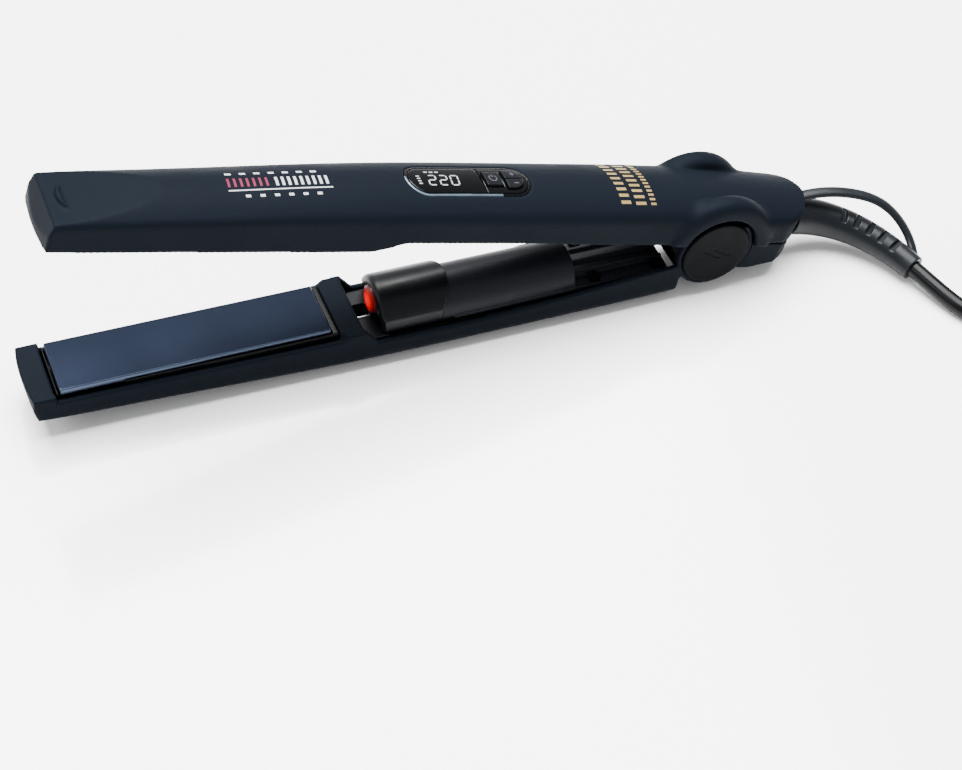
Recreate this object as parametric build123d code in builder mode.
from build123d import *
from math import cos, pi, radians, sin, tan
import os

# A salon flat iron, open, resting on the belly of its lower arm. Millimetres.
# Both arms are drawn closed, in the arm frame: the hinge axis is Y through the origin, the tip
# points to -X and the plates meet at Z = 0. The last step lays them out on the table.

os.makedirs("parts", exist_ok=True)

# ---------------------------------------------------------------- driving dimensions
BELLY = 21.6            # hinge axis over the table; the belly is cut flat at this depth
OPEN_ANGLE = 14.5       # between the arms at rest, degrees
REST_X = 105.0          # hinge axis ahead of the middle of the belly's flat

PLATE_LENGTH = 100.0
PLATE_WIDTH = 24.0
PLATE_THICK = 3.0
PLATE_MID_X = -205.5
CLOSED_GAP = 0.15       # from each plate's face to the plane between them
FLOAT = 0.8             # travel of a floating plate

WALL = 2.2
TIP_X = -266.0
TIP_LEAN = 3.5          # the top of the end face lies this far behind its foot
SHELL_RIM = 0.9         # the upper shell's edge over the plates' plane
PARTING = 3.6           # joint between the rear housing's halves

EAR_R = 16.2
EAR_IN = 12.8           # inner and outer face of a hinge ear, from the middle
EAR_OUT = 16.4
EAR_GAP = 0.6           # groove round an ear
SHOULDER_R = 24.6       # swelling of the upper shell over the ears
SHOULDER_OUT = 18.0
PIN_R = 2.5

CORD_D = 7.0
CORD_EXIT_Z = 5.0       # over the hinge axis, in the arm frame
CORD_LENGTH = 1800.0

# Outline of an arm at stations along it: x, half width, side height, crown height, corner radius
STATIONS = [
    (-275.0, 13.9, 10.6, 14.4, 2.0),
    (-224.0, 14.7, 13.4, 17.9, 3.0),
    (-180.0, 15.4, 15.2, 20.4, 4.0),
    (-135.0, 16.1, 16.4, 22.0, 5.0),
    (-70.0, 16.5, 16.6, 22.0, 5.5),
    (-12.0, 16.5, 16.4, 21.7, 5.5),
    (20.0, 16.1, 15.0, 20.2, 5.0),
    (50.0, 14.9, 13.2, 18.4, 4.5),
]


def arm_outline(inset=0.0, lift=0.0):
    """The smooth outer body of one arm, over the plates' plane; inset draws its hollow."""
    with BuildPart() as outline:
        for x, half_width, side, crown, corner in STATIONS:
            w = half_width - inset
            with BuildSketch(Plane.YZ.offset(x)) as section:
                with BuildLine():
                    Polyline((-w, side - inset + lift), (-w, -1), (w, -1), (w, side - inset + lift))
                    ThreePointArc((w, side - inset + lift), (0, crown - inset + lift),
                                  (-w, side - inset + lift))
                make_face()
                fillet(section.vertices().group_by(Axis.Y)[-1], corner)
        loft()
    return outline.part


def side_block(points, half_width=30.0, rounds=()):
    """A block with the given outline in side view (x, z); rounds lists (corner index, radius)."""
    with BuildPart() as block:
        with BuildSketch(Plane.XZ) as outline:
            with BuildLine():
                Polyline(*points, close=True)
            make_face()
            for index, radius in rounds:
                corner = Vector(points[index][0], points[index][1])
                fillet(outline.vertices().sort_by_distance(corner)[0], radius)
        extrude(amount=half_width, both=True)
    return block.part


def box_between(x0, x1, y0, y1, z0, z1):
    """An axis-aligned box from its two corners."""
    size = (x1 - x0, y1 - y0, z1 - z0)
    return Pos((x0 + x1) / 2, (y0 + y1) / 2, (z0 + z1) / 2) * Box(*size, mode=Mode.PRIVATE)


def cross_cylinder(radius, y0, y1, x=0.0, z=0.0):
    """A cylinder along Y."""
    return Pos(x, (y0 + y1) / 2, z) * Rot(90, 0, 0) * Cylinder(
        radius, y1 - y0, mode=Mode.PRIVATE)


def upright(radius, x, y, z0, z1):
    """A cylinder along Z."""
    return Pos(x, y, (z0 + z1) / 2) * Cylinder(radius, z1 - z0, mode=Mode.PRIVATE)


def along(radius, x0, x1, y=0.0, z=0.0):
    """A cylinder along X."""
    return Pos((x0 + x1) / 2, y, z) * Rot(0, 90, 0) * Cylinder(radius, x1 - x0, mode=Mode.PRIVATE)


def flipped(shape):
    """The same piece on the other arm: half a turn about the long axis."""
    return Rot(180, 0, 0) * shape


def group(pieces):
    """Separate solids that share a node."""
    return Compound([solid for piece in pieces for solid in piece.solids()])


OUTER = arm_outline()
HOLLOW = arm_outline(inset=WALL)

# The end of an arm: a slightly bowed face that leans back, and the scoop for the finger
with BuildPart() as tip_keep:
    with BuildSketch(Plane.XY.offset(-2)):
        with BuildLine():
            ThreePointArc((TIP_X + 2, 20), (TIP_X - 0.3, 0), (TIP_X + 2, -20))
            Line((TIP_X + 2, -20), (80, -20))
            Line((80, -20), (80, 20))
            Line((80, 20), (TIP_X + 2, 20))
        make_face()
    extrude(amount=50)
tip_side = side_block([(TIP_X - 2, -2), (80, -2), (80, 50), (TIP_X - 2 + 52 * TIP_LEAN / 12, 50)])

with BuildPart() as finger_scoop:
    with BuildSketch(Plane.XZ):
        with BuildLine():
            ThreePointArc((-280, 10.6), (-252, 13.6), (-222, 18.4))
            Polyline((-222, 18.4), (-222, 40), (-280, 40), (-280, 10.6))
        make_face()
    extrude(amount=30, both=True)

ARM = OUTER & tip_keep.part & tip_side
SCOOPED = ARM - finger_scoop.part

# ---------------------------------------------------------------- upper shell
# Side view of what the upper shell keeps: the step behind the plate, then the handle's rim
upper_keep = side_block(
    [(-280, SHELL_RIM), (-148, 1.2), (-136, 5.4), (-85, 5.0), (-54, 4.2), (-12, PARTING),
     (43, PARTING), (43, 60), (-280, 60)],
    rounds=[(1, 9), (2, 7)],
)
HOLLOW = HOLLOW & box_between(-257.4, 38.5, -30, 30, -5, 60)
HOLLOW = HOLLOW - Pos(0, 0, -WALL) * finger_scoop.part
REAR_ARC_X = 25.3
REAR_ARC_R = 16.7
HOLLOW = HOLLOW & (box_between(-300, REAR_ARC_X, -30, 30, -60, 60)
                   + upright(REAR_ARC_R - WALL, REAR_ARC_X, 0, -60, 60))

with BuildPart() as shoulders:
    for side in (-1, 1):
        with BuildSketch(Plane.XZ.offset(-side * 9)):
            Circle(SHOULDER_R)
        extrude(amount=-side * (SHOULDER_OUT - 9))
    fillet(shoulders.edges().filter_by(GeomType.CIRCLE), 3.5)
    add(box_between(-40, 40, -30, 30, PARTING - 50, PARTING), mode=Mode.SUBTRACT)

with BuildPart() as rear_end:
    with BuildSketch():
        with BuildLine():
            Polyline((30, 16), (30, 30), (-300, 30), (-300, -30), (30, -30), (30, -16))
            ThreePointArc((30, -16), (REAR_ARC_X + REAR_ARC_R, 0), (30, 16))
        make_face()
    extrude(amount=60, both=True)

ear_room = cross_cylinder(EAR_R + EAR_GAP, EAR_IN - 0.4, 30) + cross_cylinder(
    EAR_R + EAR_GAP, -30, -EAR_IN + 0.4)
display_room = box_between(-128, -93, -8, 8, 17.5, 30) + upright(8, -128, 0, 17.5, 30) + upright(
    8, -93, 0, 17.5, 30)
cord_room = along(6.0, 30, 50, 0, CORD_EXIT_Z)
COVER_SCREWS = [(-60, 0), (-25, 0)]
REAR_SCREWS = [(24, 9.0), (24, -9.0)]
GRIP_SCREWS = [(-48, 9.8), (-48, -9.8), (-22, 9.8), (-22, -9.8)]
SCREW_HOLE = 1.3

with BuildPart() as upper_shell:
    add(SCOOPED)
    add(shoulders.part)
    add(upper_keep, mode=Mode.INTERSECT)
    add(rear_end.part, mode=Mode.INTERSECT)
    add(HOLLOW, mode=Mode.SUBTRACT)
    # knuckles between the ears, from the roof down round the pin
    for side in (-1, 1):
        add(box_between(-9, 9, side * 10.2 - 2, side * 10.2 + 2, 0, 21) & OUTER)
        add(cross_cylinder(9, side * 10.2 - 2, side * 10.2 + 2))
    for x, y in COVER_SCREWS:
        add(upright(3, x, y, 9.8, 21) & OUTER)
        add(upright(SCREW_HOLE, x, y, 0, 14.5), mode=Mode.SUBTRACT)
    for x, y in REAR_SCREWS:
        add(upright(3, x, y, PARTING, 20) & OUTER)
        add(upright(SCREW_HOLE, x, y, 0, 8), mode=Mode.SUBTRACT)
    add(ear_room, mode=Mode.SUBTRACT)
    add(cross_cylinder(PIN_R + 0.05, -30, 30), mode=Mode.SUBTRACT)
    add(display_room, mode=Mode.SUBTRACT)
    add(cord_room, mode=Mode.SUBTRACT)

# the crescent rib that a fingertip finds in the scoop
with BuildPart() as crescent:
    with BuildSketch(Plane.XY.offset(12.5)):
        with BuildLine():
            ThreePointArc((-258, -6), (-260.4, 0), (-258, 6))
            ThreePointArc((-258, 6), (-258.9, 0), (-258, -6))
        make_face()
    extrude(amount=1.6)
upper_shell_solid = upper_shell.part + crescent.part

# ---------------------------------------------------------------- lower shell
lower_rim = side_block(
    [(-280, -4.1), (-152, -4.1), (-150, -2.1), (-143, -2.1), (-138, -8.4), (-97, -8.5),
     (-65, -7.0), (-14, -3.2), (-14, -60), (-280, -60)],
)
tip_land = side_block([(-280, -1.6), (-257, -1.6), (-257, -60), (-280, -60)])
belly_flat = box_between(-300, 60, -30, 30, -BELLY, 10)
barrel_room = cross_cylinder(13.0, -EAR_IN, EAR_IN)

with BuildPart() as lower_body:
    add(flipped(SCOOPED))
    add(lower_rim + tip_land, mode=Mode.INTERSECT)
    add(flipped(HOLLOW), mode=Mode.SUBTRACT)
    # the land between the plate and the ion pocket
    add(flipped(HOLLOW) & box_between(-152.5, -143.5, -30, 30, -9.5, -2.1))
    for x, y in GRIP_SCREWS:
        add(upright(3, x, y, -21, -8.4) & flipped(OUTER))
        add(upright(SCREW_HOLE, x, y, -14.5, 0), mode=Mode.SUBTRACT)

# Round ears, with the rounded end of the belly between them
with BuildPart() as ears:
    add(cross_cylinder(EAR_R, EAR_IN, EAR_OUT))
    add(cross_cylinder(EAR_R, -EAR_OUT, -EAR_IN))
    belly_end = cross_cylinder(EAR_R, -EAR_OUT, EAR_OUT) & box_between(-40, 4, -30, 30, -40, -6)
    add(belly_end)
    add(barrel_room, mode=Mode.SUBTRACT)
    add(cross_cylinder(PIN_R + 0.05, -30, 30), mode=Mode.SUBTRACT)

CAP_R = 14.2
cap_recess = cross_cylinder(CAP_R + 0.05, EAR_OUT - 1.2, 30) + cross_cylinder(
    CAP_R + 0.05, -30, -EAR_OUT + 1.2)

with BuildPart() as lower_shell:
    add(lower_body.part)
    add(barrel_room, mode=Mode.SUBTRACT)
    add(ears.part)
    add(cap_recess, mode=Mode.SUBTRACT)
    add(belly_flat, mode=Mode.INTERSECT)

# ---------------------------------------------------------------- hinge
with BuildPart() as hinge_pin:
    add(cross_cylinder(PIN_R, -EAR_OUT + 1.3, EAR_OUT - 1.3))

with BuildPart() as hinge_caps:
    for side in (-1, 1):
        with BuildSketch(Plane.XZ.offset(-side * (EAR_OUT - 1.1))):
            Circle(CAP_R)
        extrude(amount=-side * 1.9)
    outer_rims = hinge_caps.faces().filter_by(Axis.Y)
    fillet(outer_rims.sort_by(Axis.Y)[0].edges() + outer_rims.sort_by(Axis.Y)[-1].edges(), 0.7)
    # generic mark: two slanted grooves on each cap
    for shift in (-2.2, 2.2):
        groove = Pos(shift, 0, 0) * Rot(0, 35, 0) * Box(
            9, 2 * (EAR_OUT + 1), 1.0, mode=Mode.PRIVATE)
        inside = box_between(-20, 20, -EAR_OUT - 0.45, EAR_OUT + 0.45, -20, 20)
        add(groove - inside, mode=Mode.SUBTRACT)

# the spring between the knuckles, with a leg along each arm
with BuildPart() as torsion_spring:
    with BuildLine() as turns:
        Helix(pitch=2.0, height=8.0, radius=5.2, center=(0, -4, 0), direction=(0, 1, 0))
    with BuildSketch(Plane(origin=turns.line @ 0, z_dir=turns.line % 0)):
        Circle(0.75)
    sweep()
    add(along(0.75, -12.4, 0, -4, 5.2))
    add(along(0.75, -12.4, 0, 4, -5.2))

# ---------------------------------------------------------------- upper arm, closed from below
POCKET_TOP = 9.2        # back of the pocket that the plate floats in


def plate_holder():
    """Heat-proof tray that fills the shell's opening round the plate, drawn over Z = 0."""
    with BuildPart() as tray:
        add(HOLLOW & box_between(-256.6, -152.9, -30, 30, 1.8, 11.5))
        add(box_between(-256.6, -152.9, -12.95, 12.95, 0, 20), mode=Mode.INTERSECT)
        add(box_between(PLATE_MID_X - 50.4, PLATE_MID_X + 50.4, -12.35, 12.35, 0, POCKET_TOP),
            mode=Mode.SUBTRACT)
        for side in (-1, 1):
            add(box_between(PLATE_MID_X + 44, -150, side * 10.4 - 1.6, side * 10.4 + 1.6, 4.0, 14),
                mode=Mode.SUBTRACT)
    return tray.part


def plate():
    """Aluminium plate with eased edges and a rib under it that the heater clamps to."""
    with BuildPart() as bar:
        face_z = CLOSED_GAP
        add(box_between(PLATE_MID_X - PLATE_LENGTH / 2, PLATE_MID_X + PLATE_LENGTH / 2,
                        -PLATE_WIDTH / 2, PLATE_WIDTH / 2, face_z, face_z + PLATE_THICK))
        fillet(bar.faces().sort_by(Axis.Z)[0].edges().filter_by(Axis.X), 0.6)
    return bar.part


def heater():
    """Flat heater with its spring clip, against the back of the plate."""
    top = CLOSED_GAP + PLATE_THICK
    element = box_between(PLATE_MID_X - 35, PLATE_MID_X + 35, -7, 7, top, top + 2.6)
    return element


def cushions():
    """Silicone strips at both ends of the plate's back."""
    base = CLOSED_GAP + PLATE_THICK
    ends = [PLATE_MID_X - 44, PLATE_MID_X + 44]
    strips = [box_between(x - 4, x + 4, -9, 9, base + FLOAT + 0.2, POCKET_TOP) for x in ends]
    return group(strips)


def wire(points, thickness, bend):
    """A round wire through the given points."""
    with BuildPart() as lead:
        with BuildLine() as path:
            FilletPolyline(*points, radius=bend)
        with BuildSketch(Plane(origin=path.line @ 0, z_dir=path.line % 0)):
            Circle(thickness / 2)
        sweep()
    return lead.part


def leads(*onward):
    """Two heater leads, past the cushion and along the hollow; onward lists further (x, y)."""
    pair = []
    for side in (-1, 1):
        points = [(-169.5, side * 10.6, 5.0), (-161, side * 10.6, 5.6), (-153.5, side * 10, 12.6)]
        points += [(x, side * y, 12.6) for x, y in onward]
        pair.append(wire(points, 1.8, 9))
    return group(pair)


upper_plate_holder = plate_holder()
lower_plate_holder = flipped(plate_holder())

with BuildPart() as upper_inner_cover:
    add(HOLLOW & side_block([(-151.5, 2.6), (-146, 2.6), (-137, 7.6), (-14.5, 7.6), (-14.5, 9.6),
                             (-138, 9.6), (-147, 4.6), (-151.5, 4.6)]))
    add(box_between(-160, 0, -13.0, 13.0, 0, 30), mode=Mode.INTERSECT)
    for x, y in COVER_SCREWS:
        add(upright(SCREW_HOLE, x, y, 0, 20), mode=Mode.SUBTRACT)

# rear cover: lower half of the rear housing, bottom rounded up to the end
with BuildPart() as rear_cover:
    with BuildSketch(Plane.XZ):
        with BuildLine():
            Polyline((12, PARTING - 0.3), (43, PARTING - 0.3), (43, -1), (38, -4.2), (20, -9.0),
                     (12, -9.0), (12, PARTING - 0.3))
        make_face()
    extrude(amount=15.6, both=True)
    fillet(rear_cover.edges().filter_by(Axis.Y).group_by(Axis.Z)[0], 4)
    add(rear_end.part, mode=Mode.INTERSECT)
    with BuildSketch(Plane.XZ):
        with BuildLine():
            Polyline((10, PARTING), (38.6, PARTING), (38.6, -1), (35, -2.6), (20, -6.8), (10, -6.8),
                     (10, PARTING))
        make_face()
    extrude(amount=13.2, both=True, mode=Mode.SUBTRACT)
    add(cross_cylinder(EAR_R + EAR_GAP, -30, 30), mode=Mode.SUBTRACT)
    for x, y in REAR_SCREWS:
        add(upright(3, x, y, -7.0, PARTING - 0.3))
        add(upright(SCREW_HOLE, x, y, -20, 20), mode=Mode.SUBTRACT)
        add(upright(2.6, x, y, -20, -5.2), mode=Mode.SUBTRACT)
    add(cord_room, mode=Mode.SUBTRACT)

# ---------------------------------------------------------------- display and keys
SKIN = arm_outline(lift=-0.25)
PROUD = arm_outline(lift=0.45)
STRIP_X0 = -128.0
STRIP_X1 = -93.0


def strip(radius, z0, z1):
    """Stadium outline of the display strip, as a block."""
    return (box_between(STRIP_X0, STRIP_X1, -radius, radius, z0, z1)
            + upright(radius, STRIP_X0, 0, z0, z1) + upright(radius, STRIP_X1, 0, z0, z1))


PANEL_X = -105.2        # the window ends and the key panel begins here
with BuildPart() as display_bezel:
    add((strip(7.95, 17.8, 30) - strip(6.9, 17, 31)) & SKIN)

with BuildPart() as display_lens:
    add(strip(6.6, 18.6, 30) & box_between(-140, PANEL_X - 0.2, -9, 9, 18, 30) & SKIN)
    add(box_between(-128, -110, -4.5, 4.5, 18, 19.6), mode=Mode.SUBTRACT)

with BuildPart() as display_module:
    add(box_between(-127.6, -110.4, -4.2, 4.2, 16.0, 19.0))

power_well = box_between(-104.4, -97.0, -3.9, 3.9, 15, 30)
pair_well = (upright(5.0, -93, 0, 15, 30) & box_between(-93, -80, -9, 9, 15, 30)) + box_between(
    -96, -93, -5, 5, 15, 30)

with BuildPart() as button_panel:
    add(strip(6.6, 18.6, 30) & box_between(PANEL_X + 0.2, -80, -9, 9, 18, 30) & SKIN)
    add(power_well, mode=Mode.SUBTRACT)
    add(pair_well, mode=Mode.SUBTRACT)

CLEAR = 0.35
with BuildPart() as power_button:
    add(box_between(-104.4 + CLEAR, -97.0 - CLEAR, -3.9 + CLEAR, 3.9 - CLEAR, 18.8, 30) & PROUD)

pair_of_keys = (upright(4.65, -93, 0, 18.8, 30) & box_between(-93, -80, -9, 9, 15, 30)
                ) + box_between(-95.65, -93, -4.65, 4.65, 18.8, 30)
plus_button = pair_of_keys & box_between(-100, -80, 0.2, 9, 15, 30) & PROUD
minus_button = pair_of_keys & box_between(-100, -80, -9, -0.2, 15, 30) & PROUD

BOARD_Z = 14.2
with BuildPart() as control_board:
    add(box_between(-134, -70, -9.5, 9.5, BOARD_Z, BOARD_Z + 1.6))

KEYS = [(-100.7, 0.0), (-92.6, 2.6), (-92.6, -2.6)]
key_switches = group([
    upright(1.4, x, y, BOARD_Z + 1.6, 18.0) for x, y in KEYS])
board_parts = group([
    box_between(-84, -74, -6, 6, BOARD_Z + 1.6, 18.5),
    box_between(-130, -118, -5, 5, BOARD_Z - 2.0, BOARD_Z),
    upright(3.0, -104, 0, BOARD_Z - 4.2, BOARD_Z),
    box_between(-96, -88, -4, 4, BOARD_Z - 1.6, BOARD_Z),
])

# seven-bar digits, generic two-two-zero, on the module's face
BARS = {"2": "abged", "0": "abcdef"}


def digit(symbol, x, y, z):
    """A seven-bar digit read from the near side of the iron: its top points to +Y."""
    width, height, line = 2.6, 4.8, 0.55
    places = {
        "a": (0, height / 2, width, line), "g": (0, 0, width, line),
        "d": (0, -height / 2, width, line), "b": (width / 2, height / 4, line, height / 2),
        "c": (width / 2, -height / 4, line, height / 2),
        "f": (-width / 2, height / 4, line, height / 2),
        "e": (-width / 2, -height / 4, line, height / 2),
    }
    bars = [Pos(x + px, y + py, z) * Box(w, h, 0.3) for px, py, w, h in
            (places[bar] for bar in BARS[symbol])]
    joined = bars[0]
    for bar in bars[1:]:
        joined = joined + bar
    return joined


display_digits = group([
    digit(symbol, -123.0 + 4.3 * i, -1.0, 19.2) for i, symbol in enumerate("220")])

# ---------------------------------------------------------------- thin printed decoration
PRINT_SKIN = arm_outline(lift=0.08)


def printed(block):
    """A film of ink that follows the crown."""
    return (block & PRINT_SKIN) - arm_outline(lift=0.02)


front_print_block = box_between(-203, -166, -3.9, -3.3, 10, 30)
for i in range(6):
    front_print_block += box_between(-202 + 6 * i, -198.5 + 6 * i, -1.8, 2.8, 10, 30)
front_print = group([printed(front_print_block)])
rear_print_block = box_between(-49, -47.8, -9, 9, 10, 30)
for i in range(5):
    rear_print_block += box_between(-45.5, -38, -8.4 + 3.6 * i, -6.4 + 3.6 * i, 10, 30)
rear_print = group([printed(rear_print_block)])

# ---------------------------------------------------------------- lower arm, handle and ion unit
with BuildPart() as lower_inner_cover:
    # half-round grip cover
    with BuildSketch(Plane.YZ.offset(-132.0)):
        with Locations((0, -8.2)):
            Circle(12.2)
    extrude(amount=75.0)
    with BuildSketch(Plane.YZ.offset(-133.0)):
        with Locations((0, -8.2)):
            Circle(10.4)
    extrude(amount=74.0, mode=Mode.SUBTRACT)
    add(box_between(-134, -56, -13.4, 13.4, -8.2, 8), mode=Mode.INTERSECT)
    for side in (-1, 1):
        add(box_between(-106.5, -56, side * 11.55 - 1.35, side * 11.55 + 1.35, -8.2, -6.8))
    # lower rear part with long ridges
    add(box_between(-57.6, -17.6, -12.9, 12.9, -8.2, -6.2))
    for y in (-6.2, 0.0, 6.2):
        add(box_between(-56, -18, y - 0.7, y + 0.7, -6.4, -4.6))
    for x, y in GRIP_SCREWS:
        add(upright(SCREW_HOLE, x, y, -20, 0), mode=Mode.SUBTRACT)

with BuildPart() as ion_outlet:
    add(box_between(-143.2, -132.6, -12.9, 12.9, -10.6, -8.8))
    add(box_between(-141.0, -136.2, -1.5, 5.5, -12, -8), mode=Mode.SUBTRACT)

# smoked dome: a shallow barrel that sits over the front of the grip
with BuildPart() as ion_dome:
    with BuildSketch(Plane.YZ.offset(-136.0)):
        with Locations((0, -8.4)):
            Circle(14.2)
    extrude(amount=29.0)
    fillet(ion_dome.edges().filter_by(GeomType.CIRCLE).sort_by(Axis.X)[0], 2.5)
    with BuildSketch(Plane.YZ.offset(-134.2)):
        with Locations((0, -8.4)):
            Circle(12.6)
    extrude(amount=40.0, mode=Mode.SUBTRACT)
    add(box_between(-150, -100, -12.9, 12.9, -8.0, 20), mode=Mode.INTERSECT)
    # the lower sides are cut back so the dome leans over the outlet
    add(side_block([(-150, -20), (-133.5, -20), (-135, -2), (-150, -2)]), mode=Mode.SUBTRACT)

with BuildPart() as ion_lamp:
    add(along(3.0, -134.0, -132.6, 0, -1.5))
    add(along(2.5, -132.7, -127.7, 0, -1.5))

with BuildPart() as ion_needle:
    add(along(0.5, -141, -132, 2.0, -12.4))

with BuildPart() as ion_generator:
    add(box_between(-128, -96, -8, 8, -17.6, -11.9))

with BuildPart() as thermal_fuse:
    add(along(1.1, -186, -176, 0, -(CLOSED_GAP + PLATE_THICK + 2.6 + 1.1)))

# ---------------------------------------------------------------- screws


def screw(x, y, head_z, length, up):
    """Pan-head screw; up is +1 when the shank points to +Z."""
    head = upright(2.4, x, y, min(head_z, head_z - up * 1.4), max(head_z, head_z - up * 1.4))
    shank = upright(1.2, x, y, min(head_z, head_z + up * length), max(head_z, head_z + up * length))
    slot = Pos(x, y, head_z - up * 1.4) * Box(0.6, 5, 0.8)
    return head + shank - slot


upper_screws = group([screw(x, y, 7.6, 6.0, 1) for x, y in COVER_SCREWS]
                        + [screw(x, y, -5.2, 12.0, 1) for x, y in REAR_SCREWS])
lower_screws = group([screw(x, y, -6.2, 7.5, -1) for x, y in GRIP_SCREWS])

mains_leads = group([
    wire([(30.9, side * 2, CORD_EXIT_Z), (24, side * 3, 6), (10, side * 4.3, 14.6),
          (-68.5, side * 4.3, 14.9)], 1.6, 6) for side in (-1, 1)])

with BuildPart() as cord_clamp:
    add(box_between(31.2, 35.0, -8.5, 8.5, CORD_EXIT_Z + 3, CORD_EXIT_Z + 8.0))
    add(along(5.9, 30, 36, 0, CORD_EXIT_Z), mode=Mode.SUBTRACT)

# ---------------------------------------------------------------- lay out on the table


def lower_place(shape):
    """From the arm frame to the table, for the lower arm."""
    return Pos(REST_X, 0, BELLY) * shape


def upper_place(shape):
    """From the arm frame to the table, for the upper arm, swung open."""
    return Pos(REST_X, 0, BELLY) * Rot(0, OPEN_ANGLE, 0) * shape


# ---------------------------------------------------------------- sleeve, loop and cord
# These are drawn straight on the table. The sleeve droops from the housing and turns aside.
swing = radians(OPEN_ANGLE)
exit_x = REST_X + 42.2 * cos(swing) + CORD_EXIT_Z * sin(swing)
exit_z = BELLY - 42.2 * sin(swing) + CORD_EXIT_Z * cos(swing)
SLEEVE_END = Vector(188.5, -34.5, 6.4)
FIRST_CORNER = Vector(196.6, -58.0, 3.9)
END_DIRECTION = (FIRST_CORNER - SLEEVE_END).normalized()
SLEEVE_R0 = 8.0
SLEEVE_R1 = 5.2
LIFT = 0.1              # cord over the table
ROOT_DIRECTION = Vector(cos(swing), 0, -sin(swing))
ROOT = Vector(exit_x, 0, exit_z)
sleeve_path = Bezier(ROOT, ROOT + 22 * ROOT_DIRECTION, SLEEVE_END - 22 * END_DIRECTION, SLEEVE_END)
SLOTS = 5


def sleeve_frame(t):
    """Plane across the sleeve at share t of its length, its local Y pointing up."""
    along_path = sleeve_path % t
    sideways = Vector(0, 0, 1).cross(along_path)
    return Plane(origin=sleeve_path @ t, x_dir=sideways, z_dir=along_path)


with BuildPart() as strain_relief:
    with BuildSketch(sleeve_frame(0)) as root_section:
        Circle(SLEEVE_R0)
    with BuildSketch(sleeve_frame(1)) as end_section:
        Circle(SLEEVE_R1)
    sweep(path=sleeve_path, multisection=True)
    # slots from above and below, which let the sleeve bend
    for i in range(SLOTS):
        share = 0.40 + 0.105 * i
        radius = SLEEVE_R0 + (SLEEVE_R1 - SLEEVE_R0) * share
        for side in (-1, 1):
            with BuildSketch(sleeve_frame(share)):
                with Locations((0, side * (radius - 0.3))):
                    Rectangle(3 * radius, 3.2)
            extrude(amount=1.1, both=True, mode=Mode.SUBTRACT)
    add(upper_place(along(5.8, 31, 42.6, 0, CORD_EXIT_Z)))

LOOP_POINTS = [(143.6, 0, 23.6), (157, -1, 25.8), (171.5, -4.3, 25.0), (185, -10.5, 20.5),
               (192, -20, 12.5), (190.5, -31, 7.6)]
with BuildPart() as hanging_loop:
    with BuildLine() as loop_path:
        Spline(*LOOP_POINTS)
    with BuildSketch(Plane(origin=loop_path.line @ 0, x_dir=(0, 1, 0), z_dir=loop_path.line % 0)):
        Ellipse(2.6, 1.5)
    sweep()
    add(strain_relief.part, mode=Mode.SUBTRACT)
    add(upper_place(upper_shell_solid), mode=Mode.SUBTRACT)

# the cord lies on the table from the sleeve to the coil
CORD_Z = CORD_D / 2 + LIFT
CORD_POINTS = [SLEEVE_END, FIRST_CORNER, Vector(214.0, -78.7, CORD_Z), Vector(238.4, -87.6, CORD_Z)]


def bend_radii(points):
    """The radius that fits each corner of the route."""
    radii = []
    for before, corner, after in zip(points, points[1:], points[2:]):
        run_in = corner - before
        run_out = after - corner
        turn = radians(run_in.get_angle(run_out))
        radii.append(0.45 * min(run_in.length, run_out.length) / tan(turn / 2))
    return radii


CORD_RADII = bend_radii(CORD_POINTS)
print("cord radii", [round(radius, 1) for radius in CORD_RADII])
with BuildPart() as cord:
    with BuildLine() as cord_path:
        FilletPolyline(*CORD_POINTS, radius=CORD_RADII)
    with BuildSketch(Plane(origin=cord_path.line @ 0, z_dir=cord_path.line % 0)):
        Circle(CORD_D / 2)
    sweep()

COIL_MID = (260.0, -50.3)
COIL_R = 35.5           # middle of the seven turns, laid three, two and two
COIL_WIDE = 3 * CORD_D
COIL_HIGH = 18.0
with BuildPart() as cord_coil:
    with BuildSketch(Plane.XZ.offset(-COIL_MID[1])):
        with Locations((COIL_MID[0] + COIL_R, COIL_HIGH / 2 + LIFT)):
            RectangleRounded(COIL_WIDE, COIL_HIGH, 5.0)
    revolve(axis=Axis((COIL_MID[0], COIL_MID[1], 0), (0, 0, 1)))
coil_share = cord_coil.part.volume / (pi / 4 * CORD_D ** 2 * (CORD_LENGTH - 170))
print("coil volume over the turns' own", round(coil_share, 2))
cord_solid = cord.part - cord_coil.part - strain_relief.part

# the plug lies on the coil, and the last stretch of cord climbs to it
PLUG_X = COIL_MID[0] + 25.8
TAIL_END_Y = COIL_MID[1] - 11.3
PLUG_Z = COIL_HIGH + LIFT + 7.0
TAIL_START = Vector(PLUG_X, TAIL_END_Y - 26.4, PLUG_Z - 4.6)
TAIL_END = Vector(PLUG_X, TAIL_END_Y, PLUG_Z)
with BuildPart() as tail:
    with BuildSketch(Plane(origin=TAIL_START, z_dir=TAIL_END - TAIL_START)):
        Circle(CORD_D / 2)
    extrude(amount=(TAIL_END - TAIL_START).length)

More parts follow.
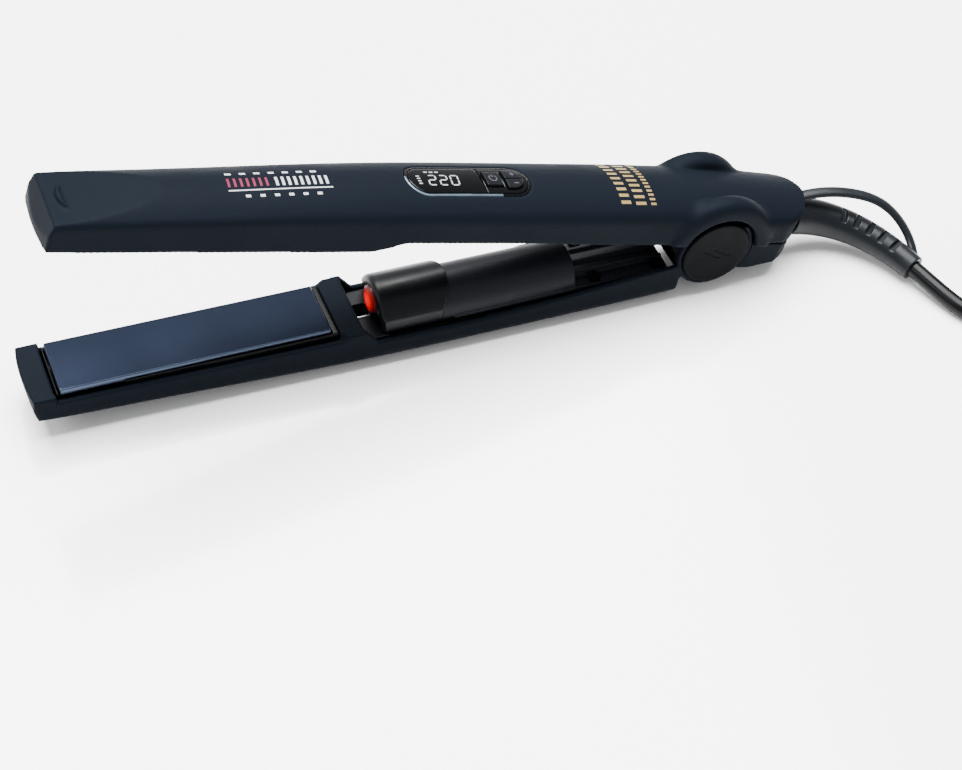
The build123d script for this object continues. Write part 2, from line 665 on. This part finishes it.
# two-pin plug, flat, with a tapered neck
PIN_SPACE = 18.6
NECK = 17.5
PLUG_LONG = 24.5
PLUG_HALF = 17.5
with BuildPart() as plug_body:
    with BuildSketch(Plane(origin=(PLUG_X, TAIL_END_Y, PLUG_Z), x_dir=(1, 0, 0), z_dir=(0, 1, 0))):
        Circle(4.6)
    with BuildSketch(Plane(origin=(PLUG_X, TAIL_END_Y + NECK + 1, PLUG_Z), x_dir=(1, 0, 0),
                           z_dir=(0, 1, 0))):
        Circle(6.2)
    loft()
    add(box_between(PLUG_X - PLUG_HALF, PLUG_X + PLUG_HALF, TAIL_END_Y + NECK,
                    TAIL_END_Y + NECK + PLUG_LONG, PLUG_Z - 6.9, PLUG_Z + 6.9))
    fillet(plug_body.edges().filter_by(Axis.Z).group_by(Axis.Y)[0], 8)
    fillet(plug_body.edges().filter_by(Axis.Z).group_by(Axis.Y)[-1], 3)
PLUG_FACE_Y = TAIL_END_Y + NECK + PLUG_LONG
cord_tail = (tail.part - cord_coil.part - plug_body.part).solids().sort_by(SortBy.VOLUME)[-1]
plug_pins = group([
    cross_cylinder(2.0, PLUG_FACE_Y, PLUG_FACE_Y + 19, PLUG_X + side * PIN_SPACE / 2, PLUG_Z)
    for side in (-1, 1)])

# ---------------------------------------------------------------- write


def write(shape, label):
    """Label a finished piece and write its STEP file."""
    shape.label = label
    export_step(shape, f"parts/{label}.step")
    print(label, [round(v, 1) for v in shape.bounding_box().size], len(shape.solids()))


IN_UPPER_ARM = {
    "upper_shell": upper_shell_solid,
    "upper_inner_cover": upper_inner_cover.part,
    "rear_cover": rear_cover.part,
    "upper_plate_holder": upper_plate_holder,
    "upper_plate": plate(),
    "upper_heater": heater(),
    "upper_cushions": cushions(),
    "upper_leads": leads((-72, 10)),
    "display_bezel": display_bezel.part,
    "display_lens": display_lens.part,
    "display_module": display_module.part,
    "display_digits": display_digits,
    "button_panel": button_panel.part,
    "power_button": power_button.part,
    "plus_button": plus_button,
    "minus_button": minus_button,
    "key_switches": key_switches,
    "control_board": control_board.part,
    "board_parts": board_parts,
    "torsion_spring": torsion_spring.part,
    "upper_screws": upper_screws,
    "mains_leads": mains_leads,
    "cord_clamp": cord_clamp.part,
    "front_print": front_print,
    "rear_print": rear_print,
}
IN_LOWER_ARM = {
    "lower_shell": lower_shell.part,
    "hinge_caps": hinge_caps.part,
    "hinge_pin": hinge_pin.part,
    "lower_inner_cover": lower_inner_cover.part,
    "lower_plate_holder": lower_plate_holder,
    "lower_plate": flipped(plate()),
    "lower_heater": flipped(heater()),
    "lower_cushions": flipped(cushions()),
    "lower_leads": flipped(leads((-74, 10), (-62, 5.2), (-20, 5.2))),
    "ion_dome": ion_dome.part,
    "ion_lamp": ion_lamp.part,
    "ion_outlet": ion_outlet.part,
    "ion_needle": ion_needle.part,
    "ion_generator": ion_generator.part,
    "thermal_fuse": thermal_fuse.part,
    "lower_screws": lower_screws,
}
ON_THE_TABLE = {
    "strain_relief": strain_relief.part,
    "hanging_loop": hanging_loop.part.solids().sort_by(SortBy.VOLUME)[-1],
    "cord": cord_solid,
    "cord_coil": cord_coil.part,
    "cord_tail": cord_tail,
    "plug_body": plug_body.part,
    "plug_pins": plug_pins,
}
for label, shape in IN_UPPER_ARM.items():
    write(upper_place(shape), label)
for label, shape in IN_LOWER_ARM.items():
    write(lower_place(shape), label)
for label, shape in ON_THE_TABLE.items():
    write(shape, label)
